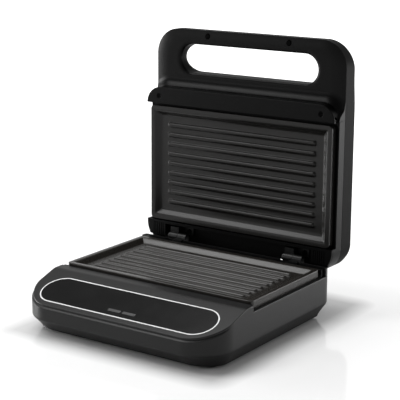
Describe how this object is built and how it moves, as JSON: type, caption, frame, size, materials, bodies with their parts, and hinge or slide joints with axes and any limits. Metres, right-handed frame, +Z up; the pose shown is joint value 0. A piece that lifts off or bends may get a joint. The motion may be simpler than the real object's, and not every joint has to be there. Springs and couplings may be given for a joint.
{
  "type": "panini press",
  "caption": "Low contact grill with ribbed lower and upper plates, a sloping control panel and a hinged lid whose front edge is a loop handle.",
  "frame": {"origin": "middle of the open press's outline on the table, under its feet", "axes": "+Z up, +Y to the rear where the lid stands open, +X to the right as seen from the front"},
  "size_m": [0.226, 0.2496, 0.2698],
  "materials": {
    "housing_plastic": "fine satin black moulding",
    "trim_plastic": "smooth black moulding",
    "panel_gloss": "high gloss black",
    "ring_white": "printed white line",
    "lens_grey": "smoked translucent, unlit",
    "board_green": "solder mask",
    "lamp_clear": "clear, unlit",
    "nonstick": "dark non-stick coating on die casting",
    "element_sheath": "heat-darkened tube",
    "shield_steel": "plain pressed sheet",
    "ceramic_white": "unglazed ceramic",
    "terminal_ivory": "moulded",
    "bracket_metal": "semi-gloss black",
    "pin_steel": "plain",
    "screw_steel": "zinc plated",
    "screw_black": "blackened",
    "rubber_black": "matt"
  },
  "bodies": {
    "base": {"base_housing": "housing_plastic", "base_inner_frame": "trim_plastic", "base_bottom_cover": "housing_plastic", "base_cover_screws": "screw_steel", "rubber_feet": "rubber_black", "control_panel": "panel_gloss", "panel_trim_ring": "ring_white", "power_light_lens": "lens_grey", "ready_light_lens": "lens_grey", "indicator_board": "board_green", "indicator_lamps": "lamp_clear", "board_screws": "screw_steel", "lower_plate": "nonstick", "lower_element": "element_sheath", "lower_heat_shield": "shield_steel", "lower_thermostat": "ceramic_white", "lower_plate_screws": "screw_steel", "thermal_fuse": "ceramic_white", "terminal_block": "terminal_ivory", "cord_bushing": "rubber_black", "base_hinge_brackets": "bracket_metal", "base_bracket_screws": "screw_steel", "hinge_pins": "pin_steel"},
    "lid": {"lid_outer_cover": "housing_plastic", "lid_inner_shell": "housing_plastic", "lid_band": "trim_plastic", "lid_hinge_trim": "trim_plastic", "lid_hinge_brackets": "bracket_metal", "lid_bracket_screws": "screw_black", "handle_screws": "screw_black", "band_screws": "screw_black", "upper_plate": "nonstick", "upper_element": "element_sheath", "upper_heat_shield": "shield_steel", "upper_thermostat": "ceramic_white", "upper_plate_screws": "screw_steel"}
  },
  "joints": [
    {"name": "lid_hinge", "type": "hinge", "parent": "base", "child": "lid", "pos_m": [0, 0.08272, 0.052], "axis": [1, 0, 0], "range_deg": [0, 90.6]}
  ]
}
